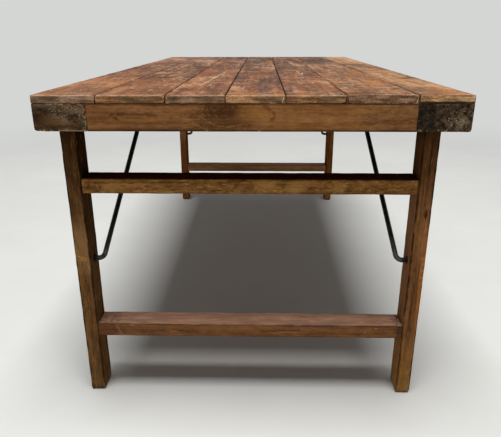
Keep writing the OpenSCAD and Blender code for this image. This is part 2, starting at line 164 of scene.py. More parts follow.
class Finish:
    """A material. Its colour, roughness and height are built up in steps, then closed."""

    def __init__(self, owner):
        self.owner = owner
        owner.use_nodes = True
        self.tree = owner.node_tree
        self.tree.nodes.clear()
        self.colour = (0.5, 0.5, 0.5, 1.0)
        self.rough = 0.5
        self.metal = 0.0
        self.height = 0.0

    def node(self, kind, settings=None, values=None, out=0):
        """Adds a node: its settings first, then the values or links of its sockets."""
        made = self.tree.nodes.new("ShaderNode" + kind)
        for name, setting in (settings or {}).items():
            if name == "stops":
                stops = made.color_ramp.elements
                stops[0].position, stops[0].color = setting[0]
                stops[1].position, stops[1].color = setting[-1]
                for place, colour in setting[1:-1]:
                    stops.new(place).color = colour
            else:
                setattr(made, name, setting)
        for name, value in (values or {}).items():
            if isinstance(value, Socket):
                self.tree.links.new(value.socket, made.inputs[name])
            else:
                made.inputs[name].default_value = value
        return Socket(self, made.outputs[out]) if made.outputs else None

    def mix(self, share, first, second):
        """Two colours mixed. On a Mix node set to colours, sockets 6 and 7 are the colours."""
        return self.node("Mix", {"data_type": "RGBA"}, {0: share, 6: first, 7: second}, out=2)

    def paint(self, code, share):
        self.colour = self.mix(share, self.colour, tone(code))

    def noise(self, at, detail=2.0, rough=0.5):
        """Noise round 0.5, with cells one unit of its place across."""
        values = {"Vector": at, "Scale": 1.0, "Detail": detail, "Roughness": rough}
        return self.node("TexNoise", None, values)

    def spread(self, at, detail=2.0, rough=0.5):
        """The same noise, stretched over the whole of 0 to 1."""
        return self.noise(at, detail, rough).step(0.3, 0.7)

    def place(self, grain, bar, seed):
        """Reads Object coordinates as metres along the grain, across it and through it."""
        found = self.node("TexCoord", None, None, out=3)
        axes = [self.node("SeparateXYZ", None, {0: found}, out=axis) for axis in range(3)]
        self.x, self.y, self.z = axes
        order = {"X": (0, 1, 2), "Y": (1, 0, 2), "Z": (2, 0, 1)}[grain]
        self.along, self.across, self.deep = [axes[i] for i in order]
        self.low = [bar[0][i] for i in order]
        self.high = [bar[1][i] for i in order]
        self.seed = seed

    def at(self, along, across, deep=None, turn=0.0, seed=0.0):
        """A place for a pattern with so many cells a metre, turned on the wide face."""
        u, v, w = self.along, self.across, self.deep
        if turn:
            c, s = math.cos(turn), math.sin(turn)
            u, v = u * c + v * s, v * c - u * s
        cells = (along, across, across if deep is None else deep)
        shifts = [(self.seed + seed) * step for step in SEED_STEPS]
        places = {i: (u, v, w)[i] * cells[i] + shifts[i] for i in range(3)}
        return self.node("CombineXYZ", None, places)

    def gap(self, axis):
        """Metres from a point to the nearer face of the bar: axis 0 is along its grain."""
        place = (self.along, self.across, self.deep)[axis]
        middle = (self.low[axis] + self.high[axis]) / 2
        half = (self.high[axis] - self.low[axis]) / 2
        return half - abs(place - middle)

    def spot(self, face, middle, reach, soft=0.4, ragged=0.0):
        """1 inside an ellipse, falling to 0 at its rim, which may be ragged. A face is
        given as the two coordinates that run over it."""
        u = (face[0] - middle[0]) / reach[0]
        v = (face[1] - middle[1]) / reach[1]
        away = u * u + v * v
        if ragged:
            away = away + (self.noise(self.at(160.0, 160.0), 3.0, 0.7) - 0.5) * ragged
        return away.step(1.0, soft)

    def line(self, face, start, stop, width, ragged=0.003):
        """1 on a thin wavering line between two places of a face."""
        run, rise = stop[0] - start[0], stop[1] - start[1]
        length = math.hypot(run, rise)
        run, rise = run / length, rise / length
        u, v = face[0] - start[0], face[1] - start[1]
        sway = (self.noise(self.at(70.0, 70.0), 3.0, 0.6) - 0.5) * (2 * ragged)
        away = abs(u * -rise + v * run + sway)
        middle = abs(u * run + v * rise - length / 2)
        return away.step(width, width * 0.3) * middle.step(length / 2, length / 2 - 0.003)

    def mark(self, code, face, middle, reach, share, soft=0.4, ragged=0.0):
        """Paints a spot."""
        self.paint(code, self.spot(face, middle, reach, soft, ragged) * share)

    def trail(self, code, face, places, width, share, ragged=0.003):
        """Paints a line through two or more places."""
        for start, stop in zip(places, places[1:]):
            self.paint(code, self.line(face, start, stop, width, ragged) * share)

    def close(self, bump, specular=0.06):
        """Ends the finish. Its height is in units of bump, in metres."""
        raised = {"Height": self.height, "Distance": bump, "Strength": 1.0}
        values = {
            "Base Color": self.colour,
            "Roughness": self.rough,
            "Metallic": self.metal,
            "Specular IOR Level": specular,
            "Normal": self.node("Bump", None, raised),
        }
        shader = self.node("BsdfPrincipled", None, values)
        self.node("OutputMaterial", None, {"Surface": shader})
        return self.owner


# What lies this close to a face of its bar counts as lying on that face
SKIN = 0.0016


class Wood(Finish):
    """Solid wood: rings round a pith beside the bar, fibres, pores and patches, in one
    pattern that runs through all faces, so an end shows the rings that its sides show."""

    def __init__(self, name, grain, bar, seed, tones, ring, pith,
                 streak=0.42, mottle=0.3, patch=0.36, fine=0.3):
        super().__init__(bpy.data.materials.new(name))
        self.place(grain, bar, seed)
        dark, mid, light = tones
        wander = self.noise(self.at(1.5, 5.0), 2.0) - 0.5
        sway = self.noise(self.at(7.0, 26.0), 2.0) - 0.5
        middle = [(self.low[axis] + self.high[axis]) / 2 for axis in range(3)]
        u = self.across - middle[1] - pith[0] + wander * 0.06 + sway * 0.009
        v = self.deep - middle[2] - pith[1] + wander * 0.03
        reach = (u * u + v * v) ** 0.5
        self.ring = (reach * (2 * math.pi / ring)).sine() * 0.5 + 0.5
        self.fibre = self.spread(self.at(6.0, 330.0), 3.0, 0.65)
        self.streak = self.spread(self.at(2.2, 60.0), 3.0, 0.6)
        self.pore = self.noise(self.at(40.0, 950.0), 1.0).step(0.6, 0.7)
        self.mottle = self.spread(self.at(26.0, 50.0), 3.0, 0.6)
        self.patch = self.spread(self.at(2.3, 7.0), 2.0)
        shade = 0.5 + (self.streak - 0.5) * streak + (self.patch - 0.5) * patch
        shade = shade + (self.mottle - 0.5) * mottle + (self.fibre - 0.5 - self.ring * 0.4) * fine
        stops = [(0.1, dark), (0.48, mid), (0.9, light)]
        self.colour = self.node("ValToRGB", {"stops": stops}, {"Fac": shade})
        self.colour = self.mix(self.pore * 0.4, self.colour, dark)
        self.rough = 0.58 + (self.mottle - 0.5) * 0.16 + self.pore * 0.1
        self.height = self.fibre * 0.3 + self.mottle * 0.4 - self.pore * 0.5

    def band(self, reach):
        """1 along the long edges, in a band that comes and goes."""
        near = (self.gap(1) + self.gap(2)) / reach
        return (near + (self.noise(self.at(30.0, 90.0), 3.0) - 0.5) * 1.6).step(1.0, 0.2)

    def edges(self, code, reach, share):
        self.paint(code, self.band(reach) * share)

    def shifted(self, seed, along, across, detail=2.0, rough=0.5, turn=0.0):
        """Noise of its own, which the finish's other patterns don't follow."""
        return self.noise(self.at(along, across, turn=turn, seed=seed), detail, rough)

    def scratches(self, code, turn, share, fine=230.0, length=9.0, seed=0.0, often=0.0):
        """Thin straight scratches that run one way, in some places only."""
        lines = self.shifted(seed, length, fine, 1.0, turn=turn).step(0.72 - often, 0.78 - often)
        lines = lines * self.noise(self.at(8.0, 11.0), 1.0).step(0.5, 0.6)
        self.paint(code, lines * share)
        self.height = self.height - lines * 0.8

    def blot(self, code, seed, size, share, low=0.5, high=0.68):
        """Soft patches of another tone, each about so long and wide."""
        where = self.shifted(seed, 1 / size[0], 1 / size[1], 3.0, 0.6).step(low, high)
        self.paint(code, where * share)

    def flecks(self, seed, along, across, dark, light, rough=0.75):
        """Small specks, given as the tone, the two steps and the share of each kind."""
        field = self.shifted(seed, along, across, 4.0, rough)
        for code, low, high, share in (dark, light):
            self.paint(code, field.step(low, high) * share)

    def curls(self, code, where, share, size, close, seed=0.0):
        """Fine curved scratches side by side, which follow the level lines of a noise."""
        lines = (self.shifted(seed, size, size, 1.0) * close).sine().step(0.45, 0.95)
        lines = lines * where * self.spread(self.at(110.0, 110.0), 2.0).step(0.15, 0.6)
        self.paint(code, lines * share)
        self.height = self.height + lines * 0.8

    def ends(self, tones, across=45.0, deep=45.0):
        """End grain on the bar's two ends: rough, darker, with fine checks."""
        end = self.gap(0).step(SKIN, SKIN / 2)
        rot = self.spread(self.at(20.0, across, deep), 4.0, 0.68)
        fine = self.spread(self.at(60.0, 300.0), 3.0, 0.7)
        shade = rot * 0.68 + fine * 0.24 + (self.ring - 0.5) * 0.08
        stops = [(0.12, tone(tones[0])), (0.45, tone(tones[1])), (0.85, tone(tones[2]))]
        grain = self.node("ValToRGB", {"stops": stops}, {"Fac": shade})
        self.colour = self.mix(end, self.colour, grain)
        self.rough = self.rough + end * 0.2
        self.height = self.height + end * (fine * 1.2 + rot * 1.6)
        return end

    def chips(self, code, share):
        """Paints the bare wood where the mesh of a worn piece says that it is chipped."""
        chipped = self.node("Attribute", {"attribute_name": "chipped"}, None, out=2)
        self.paint(code, chipped.step(0.1, 0.5) * share)


# ---- pieces that replace nodes

def cuts(low, high, spacing, close_to_ends):
    """Places of cuts between two ends, with finer ones close to both ends."""
    count = max(1, round((high - low) / spacing))
    inner = [low + (high - low) * i / count for i in range(1, count)]
    edge = max(close_to_ends) + spacing * 0.4
    inner = [place for place in inner if edge < place - low and edge < high - place]
    return inner + [low + gap for gap in close_to_ends] + [high - gap for gap in close_to_ends]


def cut_across(shape, axis, place):
    """Cuts a whole shape by a plane across an axis."""
    normal = Vector([float(i == axis) for i in range(3)])
    parts = shape.verts[:] + shape.edges[:] + shape.faces[:]
    bmesh.ops.bisect_plane(shape, geom=parts, dist=1e-7, plane_co=normal * place, plane_no=normal)


def copied(node):
    """A bmesh of a node's mesh, with its loose triangles joined."""
    shape = bmesh.new()
    shape.from_mesh(frame["nodes"][node].data)
    bmesh.ops.remove_doubles(shape, verts=shape.verts[:], dist=1e-6)
    return shape


def made_object(shape, name, finish, sharp=50):
    """An object of a bmesh in one finish, smooth but for its sharp edges."""
    mesh = bpy.data.meshes.new(name)
    shape.to_mesh(mesh)
    shape.free()
    mesh.shade_smooth()
    mesh.set_sharp_from_angle(angle=math.radians(sharp))
    mesh.materials.clear()
    mesh.materials.append(finish)
    item = bpy.data.objects.new(name, mesh)
    bpy.context.scene.collection.objects.link(item)
    return item


def stand_in(shape, node, name, finish, slot, sharp=50):
    """Makes a piece of a bmesh, which replaces a node and moves with its body."""
    piece = made_object(shape, name, finish, sharp)
    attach(piece, body_of(frame["nodes"][node])[0])
    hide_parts(node)


# How far the wear of an edge reaches, and how high that of a foot
EDGE_REACH = 0.004
FOOT_REACH = 0.009
# Distances from the ends of a bar and from its long edges at which a worn piece is also cut
END_CUTS = (0.002, 0.005, 0.01, 0.018)
SIDE_CUTS = (0.0035,)


def worn(node, finish, slot, spacing, bar=None, grain=1, bite=0.0012, sag=0.00025, seed=0.0,
         chips=(), tread=0.0):
    """A copy of a wooden node with worn edges: its long faces are cut into a grid, whose
    points then move inwards, more at the edges, and most at the chips and at a worn foot."""
    low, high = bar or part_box(node)
    shape = copied(node)
    for axis in range(3):
        for place in cuts(low[axis], high[axis], spacing[axis],
                          END_CUTS if axis == grain else SIDE_CUTS):
            cut_across(shape, axis, place)
    drift = Vector((seed * 3.7, seed * 1.9, seed * 5.3))
    layer = shape.verts.layers.float.new("chipped")
    for vert in shape.verts:
        gaps = [min(vert.co[i] - low[i], high[i] - vert.co[i]) for i in range(3)]
        if min(gaps) < -1e-4 or min(gaps) > SKIN:
            continue
        coarse, fine, wave = [noise.noise(vert.co * cells + drift) for cells in (42.0, 130.0, 9.0)]
        rough = coarse * 0.6 + fine * 0.4
        share = max(0.0, 1.0 - sorted(gaps)[1] / EDGE_REACH)
        amount = bite * share * share * max(0.0, 0.35 + 1.3 * rough)
        for place, size, depth in chips:
            inside = max(0.0, 1.0 - ((vert.co - Vector(place)).length / size) ** 2)
            amount += depth * inside
            vert[layer] = max(vert[layer], inside)
        foot = tread * max(0.0, 1.0 - (vert.co.z - low.z) / FOOT_REACH) * (0.8 + rough)
        push = Vector((0.0, 0.0, 0.0))
        for i in range(3):
            outer = gaps[i] < SKIN
            if outer or (amount and gaps[i] < EDGE_REACH):
                inward = 1.0 if vert.co[i] - low[i] < high[i] - vert.co[i] else -1.0
                sunk = sag * (wave * 0.5 + 0.5) if outer else 0.0
                push[i] = inward * (amount + sunk + (foot if i < 2 else 0.0))
        vert.co += push
    stand_in(shape, node, node + "_worn", finish, slot)


# ---- finishes of the top

BOARDS = [
    # tone of the face, tone of its far end, tones of the end grain
    ("#7f4a2c", "#7a5a56", ("#5e4738", "#a37c5f", "#d3b39a")),
    ("#623821", "#69514c", ("#62462f", "#a67043", "#d5a474")),
    ("#744328", "#553c33", ("#5b4535", "#977154", "#c29d80")),
    ("#5b3628", "#351f1c", ("#704c34", "#b88155", "#e4b585")),
    ("#673c26", "#4a2f27", ("#5f4531", "#a4724c", "#d3a87b")),
    ("#7f5537", "#3e2c26", ("#564433", "#906a4d", "#be9a79")),
    ("#a1754f", "#ba8f65", ("#906949", "#d5a26d", "#fdd6a9")),
]
NEAR_CHIPS = {
    # board: places on the near end, size and depth of each chip
    1: [((-HALF_W, -HALF_L, TOP_Z), 0.005, 0.0022), ((-0.3231, -HALF_L, TOP_Z), 0.004, 0.003)],
    2: [((-0.3211, -HALF_L, TOP_Z), 0.003, 0.002), ((-0.1783, -HALF_L, TOP_Z), 0.004, 0.003)],
    3: [((-0.1763, -HALF_L, TOP_Z), 0.005, 0.004)],
    5: [((0.132, -HALF_L, RAIL_TOP), 0.005, 0.002), ((0.1953, -HALF_L, RAIL_TOP), 0.005, 0.003)],
    6: [((0.1973, -HALF_L, RAIL_TOP), 0.004, 0.003), ((0.3431, -HALF_L, 0.757), 0.004, 0.002)],
    7: [((HALF_W, -HALF_L, TOP_Z), 0.005, 0.0022)],
}
BOARD_WEAR = [
    # seed, cells a metre along and across the board, shares of the dark and the light parts
    (3.0, 8.0, 15.0, 0.52, 0.42),  # clouds
    (13.0, 46.0, 34.0, 0.6, 0.5),  # wear of the surface
    (14.0, 30.0, 6.0, 0.4, 0.35),  # marks of the plane, across the grain
    (15.0, 2.2, 60.0, 0.36, 0.25),  # long streaks
    (16.0, 2.6, 6.5, 0.7, 0.5),  # stains
]
BOARD_PATCHES = {
    # board: middle and reach along it, tone and share of each broad worn or stained part
    1: [(-0.70, 0.28, "#c88a57", 0.16), (-0.20, 0.34, "#3a2015", 0.44)],
    2: [(-0.70, 0.25, "#76431a", 0.5)],
    3: [(-0.10, 0.38, "#4a2410", 0.34)],
    4: [(0.60, 0.62, "#3a2015", 0.58)],
    5: [(-0.70, 0.25, "#c88a57", 0.1), (-0.05, 0.38, "#3a2015", 0.34)],
    6: [(0.60, 0.55, "#3a2015", 0.36)],
    7: [(0.60, 0.45, "#e8bf98", 0.22)],
}
END_MARKS = {
    # board: across and up to where each pale crack in its near end starts
    4: [(0.068, 0.7585)], 5: [(0.135, 0.751), (0.194, 0.748)], 6: [(0.3405, 0.756), (0.318, 0.751)],
}
# The joint between boards 5 and 6 is shut but for its near part
SHUT_JOINT = 5
SHUT_X = (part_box("board_5")[1].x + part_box("board_6")[0].x) / 2
SHUT_FROM = (-0.66, -0.58)


def board_marks(wood, number, left):
    """Scratches and stains that only one board has."""
    top = (wood.x, wood.y)
    above = wood.z.step(TOP_Z - 0.003, TOP_Z - 0.002)
    if number == 3:
        pale = wood.line(top, (-0.128, -0.70), (-0.096, -0.20), 0.0045, 0.006)
        pale = pale.either(wood.spot(top, (-0.100, -0.30), (0.008, 0.035), 0.4, 1.2))
        wood.paint("#efd0b0", pale * wood.spread(wood.at(30.0, 90.0)) * above * 0.6)
    elif number == 5:
        nick = wood.spot(top, (0.139, -0.46), (0.004, 0.02), 0.2)
        for start in ((0.135, -0.13), (0.152, -0.26)):
            nick = nick.either(wood.line(top, start, (0.141, -0.37), 0.0026, 0.004))
        wood.paint("#efd8c0", nick * wood.spread(wood.at(60.0, 90.0)) * above * 0.65)
        smoke = wood.shifted(27.0, 6.0, 20.0).step(0.4, 0.6)
        wood.paint("#3c2014", (wood.x - left).step(0.035, 0.0) * smoke * 0.6)
    elif number == 6:
        wood.mark("#3a302a", top, (0.262, 0.45), (0.075, 0.30), 0.6, 0.2, 1.0)
        wood.mark("#3c2418", top, (0.23, -0.86), (0.06, 0.04), 0.6, 0.1, 1.2)


def board_end(wood, number, tones):
    """The ends of a board: its end grain, upper edge, seam on the rail, and pale cracks."""
    end = wood.ends(tones, 24.0, 110.0)
    smear = wood.shifted(31.0, 20.0, 16.0, 2.0).step(0.5, 0.62)
    wood.paint("#6d5a45", end * smear * 0.5)
    arris = (wood.gap(0) + (TOP_Z - wood.z)).step(0.0038, 0.0014)
    arris = arris * (0.35 + wood.spread(wood.at(60.0, 60.0)) * 0.6)
    wood.paint("#d8b898" if number < 6 else "#3a281c", arris * 0.75)
    under = (wood.z - RAIL_TOP).step(0.003, 0.001)
    wood.paint("#6a4a34", under * (1 - end) * 0.7)
    if number == BOARD_COUNT:
        wood.paint("#241c15", wood.z.step(RAIL_TOP + 0.0055, RAIL_TOP + 0.0035) * end * 0.9)
    else:
        seam = wood.z.step(RAIL_TOP + 0.003, RAIL_TOP + 0.001) * end
        wood.paint("#8a5a3a", seam * 0.6)
        crumbs = wood.shifted(37.0, 60.0, 60.0, 3.0).step(0.54, 0.64)
        wood.paint("#dcbb96", seam * crumbs * 0.6)
    for place, rise in END_MARKS.get(number, ()):
        crack = [(place, rise), (place - 0.004, RAIL_TOP)]
        wood.trail("#e6d2b0", (wood.x, wood.z), crack, 0.0014, end * 0.85, 0.004)


def board_finish(number):
    face, far, end_tones = BOARDS[number - 1]
    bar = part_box(f"board_{number}")
    pith = (0.03 * math.sin(number * 2.4), -0.05 - 0.01 * number)
    wood = Wood(f"board_{number}_wood", "Y", bar, float(number), shades(face), 0.0055, pith,
                streak=0.5, mottle=0.35, patch=0.3, fine=0.22)
    wood.paint(far, wood.y.step(-0.5, 0.9) * 0.75)
    for seed, along, across, dark, light in BOARD_WEAR:
        field = wood.shifted(seed, along, across, 5.0, 0.76)
        wood.paint("#3d2012", field.step(0.49, 0.36) * dark)
        wood.paint("#d8a276", field.step(0.52, 0.66) * light)
    broad = wood.shifted(18.0, 2.2, 15.0, 4.0, 0.75)
    distance = wood.y.step(-0.6, 0.3)
    wood.paint("#3a2015", broad.step(0.47, 0.36) * distance * 0.6)
    wood.paint("#dfb08a", broad.step(0.55, 0.65) * distance * 0.45)
    middle = (bar[0].x + bar[1].x) / 2
    for place, reach, code, share in BOARD_PATCHES[number]:
        wood.mark(code, (wood.x, wood.y), (middle, place), (0.14, reach), share, 0.2, 0.8)
    wood.blot("#584536", 11.0, (0.22, 0.06), 0.3, 0.53, 0.7)
    wood.blot("#a8642c", 17.0, (0.18, 0.07), 0.4, 0.5, 0.66)
    flaked = wood.shifted(19.0, 7.0, 10.0, 2.0).step(0.42, 0.62)
    flaked = wood.shifted(21.0, 60.0, 90.0, 3.0, 0.75).step(0.57, 0.66) * flaked
    wood.paint("#e8c6a6", flaked * 0.7)
    dents = wood.shifted(23.0, 40.0, 70.0, 2.0).step(0.37, 0.28)
    wood.paint("#35190e", dents * 0.55)
    wood.height = wood.height + flaked * 0.4 - dents * 1.2
    wood.scratches("#e6c19b", 0.9, 0.7, seed=2.0, often=0.02)
    wood.scratches("#d8b088", -0.35, 0.55, seed=5.0)
    wood.scratches("#3c1f12", 0.2, 0.6, seed=9.0)
    board_marks(wood, number, bar[0].x)
    dirt = wood.gap(1).step(0.005, 0.0005)
    dirt = dirt * wood.noise(wood.at(18.0, 40.0), 2.0).step(0.35, 0.65)
    if number in (SHUT_JOINT, SHUT_JOINT + 1):
        shut = abs(wood.x - SHUT_X).step(0.01, 0.008) * wood.y.step(*SHUT_FROM)
        dirt = dirt * (1 - shut)
    wood.paint("#24120b", dirt * 0.65)
    board_end(wood, number, end_tones)
    wood.chips("#c9ab88", 0.6)
    return wood.close(0.0005)


def left_rail_end(wood, near, specks):
    """Sawn end of the left side rail: brown, with curled scratches and a pale border."""
    x, z = face = (wood.x, wood.z)
    wood.paint("#2a1d13", x.step(-0.425, -0.45) * near * 0.45)
    wood.mark("#6b4a28", face, (-0.42, 0.712), (0.028, 0.016), near * 0.5, 0.1, 1.6)
    swirls = wood.spot(face, (-0.385, 0.726), (0.040, 0.021), 0.5, 1.2) * near
    wood.curls("#b8a184", swirls, 0.7, 34.0, 120.0)
    wood.curls("#a08a6e", swirls, 0.6, 60.0, 60.0, 5.0)
    border = wood.shifted(43.0, 20.0, 170.0, 2.0, 0.6).step(0.47, 0.6)
    wood.paint("#a9906f", x.step(-0.356, -0.346) * border * near * 0.8)
    faded = z.step(RAIL_TOP - 0.014, RAIL_TOP - 0.004) * x.step(-0.40, -0.43)
    wood.paint("#6d5a52", faded * near * 0.55)
    low_line = [(-0.402, 0.6885), (-0.345, 0.688)]
    wood.trail("#c8a484", face, low_line, 0.0012, near * 0.8, 0.001)
    high_line = [(-0.425, 0.7435), (-0.345, 0.7425)]
    wood.trail("#c4b09a", face, high_line, 0.0014, near * 0.5 * specks.step(0.4, 0.55), 0.003)
    wood.mark("#2c3830", face, (-0.352, 0.700), (0.007, 0.009), near * 0.6, 0.0, 1.8)


def right_rail_end(wood, near):
    """Sawn end of the right side rail: almost black, with pale curls at its lower corner."""
    face = (wood.x, wood.z)
    wood.paint("#191713", wood.x.step(0.405, 0.365) * near * 0.7)
    fleck = wood.shifted(41.0, 20.0, 170.0, 3.0, 0.7).step(0.56, 0.66)
    wood.paint("#7a5c3e", fleck * near * 0.55)
    swirls = wood.spot(face, (0.430, 0.713), (0.034, 0.024), 0.3, 1.8) * near
    wood.curls("#b7a080", swirls, 0.8, 40.0, 110.0)
    wood.curls("#9c8466", swirls, 0.6, 75.0, 60.0, 5.0)
    glint = wood.spot(face, (0.427, 0.706), (0.02, 0.012), 0.3, 1.5) * near
    wood.curls("#dfcdb0", glint, 0.9, 60.0, 90.0, 8.0)


RAILS = {
    # seed, tone, tones of the end grain and its cells a metre, share of its pale upper lip
    "left": (11.0, "#5c412b", ("#38271a", "#5f452d", "#836648"), (22.0, 60.0), 0.7),
    "right": (12.0, "#553c29", ("#171410", "#463829", "#7d6246"), (90.0, 90.0), 0.35),
}


def rail_finish(side):
    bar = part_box(f"side_rail_{side}")
    seed, face, end_tones, end_cells, lip_share = RAILS[side]
    wood = Wood(f"side_rail_{side}_wood", "Y", bar, seed, shades(face), 0.007, (0.0, -0.05),
                mottle=0.45)
    wood.blot("#3c2a1e", 3.0, (0.3, 0.05), 0.7)
    wood.blot("#8a6038", 7.0, (0.25, 0.04), 0.4)
    wood.scratches("#a98a64", 0.1, 0.5, seed=2.0)
    wood.edges("#2a1c13", 0.006, 0.7)
    end = wood.ends(end_tones, *end_cells)
    near = wood.y.step(bar[0].y + 0.005, bar[0].y + 0.002) * end
    specks = wood.shifted(47.0, 20.0, 120.0, 2.0, 0.6)
    if side == "left":
        left_rail_end(wood, near, specks)
    else:
        right_rail_end(wood, near)
    low = wood.z.step(bar[0].z + 0.0065, bar[0].z + 0.0035) * specks.step(0.55, 0.62)
    wood.paint("#b9a07e", low * near * 0.75)
    lip = wood.z.step(bar[1].z - 0.006, bar[1].z - 0.002) * specks.step(0.5, 0.6)
    wood.paint("#93805f", lip * near * lip_share)
    wood.height = wood.height - (low + lip) * near
    wood.paint("#8f7454", wood.band(0.005) * near * 0.4)
    return wood.close(0.0008)


def cross_finish(name, bar, seed, face):
    """Wood of an end rail or a bearer, which runs across the table."""
    wood = Wood(name, "X", bar, seed, shades(face, 0.48, 1.6), 0.008, (0.01, -0.04),
                0.3, 0.26, 0.3, 0.24)
    wood.blot("#6a3a18", 3.0, (0.11, 0.016), 0.42)
    wood.blot("#b37c3c", 7.0, (0.16, 0.014), 0.4)
    wood.flecks(5.0, 70.0, 170.0, ("#3c200e", 0.47, 0.34, 0.5), ("#c08a4a", 0.54, 0.66, 0.4))
    wood.scratches("#d8b27c", 0.12, 0.35, 160.0, 6.0, seed=2.0)
    wood.edges("#2b1a0f", 0.006, 0.75)
    wood.ends(("#4a321f", "#76512f", "#9c7040"))
    return wood


RAIL_SHADOW_AND_STAINS = [
    # tone, middle, reach, how ragged, share
    # The first two are a painted soft shadow over the middle of the rail, the third a pale stain
    ("#3f230d", (-0.055, 0.733), (0.055, 0.020), 2.4, 0.7),
    ("#4a2a12", (-0.060, 0.712), (0.080, 0.032), 2.0, 0.6),
    ("#b47a38", (0.002, 0.724), (0.040, 0.022), 2.2, 0.35),
]
DARK_CURL = [(0.024, 0.742), (0.043, 0.731), (0.051, 0.718), (0.040, 0.709)]
PALE_LINES = [
    [(-0.163, 0.718), (-0.145, 0.718), (-0.124, 0.709), (-0.102, 0.694)],
    [(-0.112, 0.721), (-0.091, 0.710), (-0.073, 0.700), (-0.054, 0.697), (-0.031, 0.699),
     (-0.013, 0.704)],
]
# Across, to the two pale nicks in the lower edge
RAIL_NICKS = (-0.092, 0.017)


def near_rail_marks(wood, bar):
    """The stains, cracks and scratches of the near end rail's outer face, a painted soft shadow on
    its upper middle, and darker bands along its lower edge and its top.
    """
    x, z = face = (wood.x, wood.z)
    front = wood.y.step(bar[0].y + 0.0035, bar[0].y + 0.0015)
    wood.paint("#85522a", x.step(-0.12, -0.26) * front * 0.25)
    # Painted shadow: a dark red-brown band across the middle of the rail, under the same soft shadow
    wood.paint("#5c1800", x.step(-0.24, -0.10) * x.step(0.02, -0.03) * front * 0.17)
    wood.paint("#be7e40", x.step(0.0, 0.03) * x.step(0.25, 0.2) * front * 0.2)
    # The painted soft shadow and the pale stain
    for code, middle, reach, ragged, share in RAIL_SHADOW_AND_STAINS:
        wood.mark(code, face, middle, reach, front * share, 0.0, ragged)
    wood.trail("#4a2811", face, DARK_CURL, 0.005, front * 0.5, 0.006)
    crack = wood.line(face, (-0.302, 0.725), (-0.272, 0.722), 0.0036, 0.005)
    crack = crack.either(wood.line(face, (-0.293, 0.722), (-0.277, 0.711), 0.003, 0.006))
    broken = wood.spread(wood.at(90.0, 200.0)).step(0.0, 0.6)
    wood.paint("#2a170b", crack * broken * front * 0.65)
    wood.trail("#4a2a14", face, [(-0.280, 0.723), (-0.195, 0.721)], 0.0045, front * 0.6, 0.005)
    for places in PALE_LINES:
        wood.trail("#c89c64", face, places, 0.0011, front * 0.4)
    for place in RAIL_NICKS:
        wood.mark("#e0c49a", face, (place, bar[0].z + 0.001), (0.004, 0.003), front * 0.8,
                  0.2, 1.0)
    # Darker along the lower edge, and along the top under the ends of the boards
    wood.paint("#3a2412", z.step(bar[0].z + 0.008, bar[0].z) * front * 0.7)
    wood.paint("#4a2c16", z.step(RAIL_TOP - 0.004, RAIL_TOP) * front * 0.6)


# ---- finishes of the leg frames

LEGS = {
    # tone of the leg, darker tone of its streaks
    ("near", "left"): ("#6c4c2e", "#462e1a"),
    ("near", "right"): ("#885c3a", "#43260f"),
    ("far", "left"): ("#8a5228", "#40240f"),
    ("far", "right"): ("#8c5428", "#40240f"),
}


def left_leg_marks(wood, front):
    """A pale knot and two small scars on the front of the near left leg."""
    face = (wood.x, wood.z)
    cloud = wood.spread(wood.at(170.0, 260.0), 3.0, 0.7)
    knot = (0.35 + cloud * 0.6) * front * 0.75
    wood.mark("#dca04c", face, (-0.400, 0.375), (0.011, 0.0075), knot, 0.0, 1.8)
    wood.mark("#7a4c22", face, (-0.3995, 0.3745), (0.0055, 0.003), front * 0.55, 0.0, 1.2)
    wood.trail("#d8ac6c", face, [(-0.4195, 0.3835), (-0.406, 0.380)], 0.0012, front * 0.7, 0.001)
    wood.trail("#c49a66", face, [(-0.3905, 0.36), (-0.3865, 0.345)], 0.0014, front * 0.6, 0.002)


def right_leg_marks(wood, front):
    """A dark knot and a bright outer edge on the front of the near right leg."""
    x, z = face = (wood.x, wood.z)
    wood.mark("#2b160a", face, (0.396, 0.492), (0.006, 0.014), front * 0.75, 0.1, 1.2)
    wood.mark("#33190c", face, (0.398, 0.49), (0.005, 0.02), front * 0.5, 0.0, 1.5)
    glow = x.step(0.395, 0.406) * z.step(0.16, 0.24) * z.step(0.5, 0.42)
    wood.paint("#b96f28", glow * front * 0.55)
    bright = x.step(0.398, 0.404) * z.step(0.3, 0.34) * z.step(0.4, 0.37)
    broken = wood.shifted(3.0, 150.0, 60.0).step(0.5, 0.6)
    wood.paint("#d09a58", bright * front * broken * 0.5)


